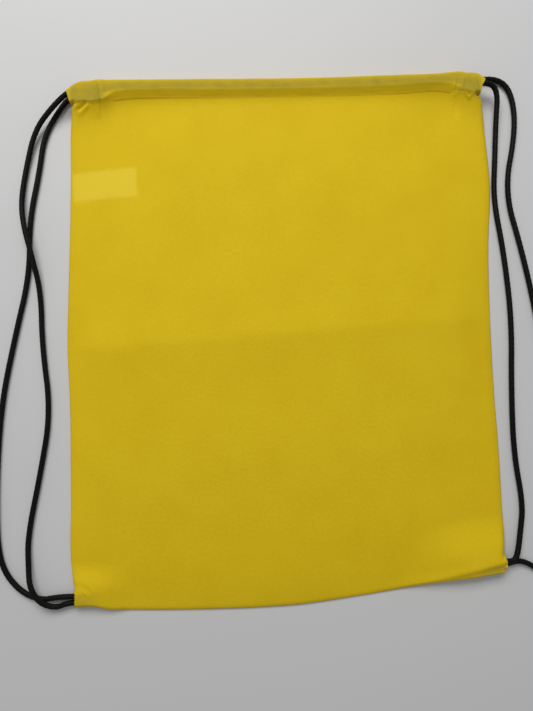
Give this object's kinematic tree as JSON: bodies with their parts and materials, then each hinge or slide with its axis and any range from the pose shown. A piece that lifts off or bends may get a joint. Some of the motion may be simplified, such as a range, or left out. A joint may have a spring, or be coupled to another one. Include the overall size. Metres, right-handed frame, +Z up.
{
  "type": "drawstring backpack",
  "caption": "Flat non-woven drawstring backpack: open hollow bag with tubular hems, two braided drawcords that form the shoulder loops, and corner tabs.",
  "frame": {"origin": "middle of the bag's base, on the surface it lies on, without the free cords", "axes": "+X to the right across the bag, +Y from the bottom fold to the mouth, +Z up, out of the front panel"},
  "size_m": [0.4473, 0.4218, 0.0166],
  "materials": {
    "fabric": "non-woven polypropylene, matt, with a fine embossed grid",
    "label_fabric": "woven satin tape",
    "thread": "polyester thread",
    "cord": "braided polypropylene"
  },
  "bodies": {
    "root": {"back_panel": "fabric", "front_panel": "fabric", "bottom_fold": "fabric", "left_side_seam": "fabric", "back_hem": "fabric", "front_hem": "fabric", "left_corner_tab": "fabric", "front_hem_stitching": "thread", "back_hem_stitching": "thread", "left_drawcord": "cord"},
    "right_side": {"right_side_seam": "fabric", "right_corner_tab": "fabric", "right_drawcord": "cord"},
    "label": {"side_label": "label_fabric"}
  },
  "joints": [
    {"name": "mouth_gather", "type": "hinge", "parent": "root", "child": "right_side", "pos_m": [0, -0.21, 0], "axis": [0, 0, 1], "range_deg": [0, 20], "deforming": ["front_panel", "back_panel", "bottom_fold", "front_hem", "back_hem", "front_hem_stitching", "back_hem_stitching", "left_drawcord", "right_drawcord"]},
    {"name": "label_flap", "type": "hinge", "parent": "root", "child": "label", "pos_m": [-0.1659, 0, 0.00085], "axis": [0, -1, 0], "range_deg": [0, 6]}
  ]
}
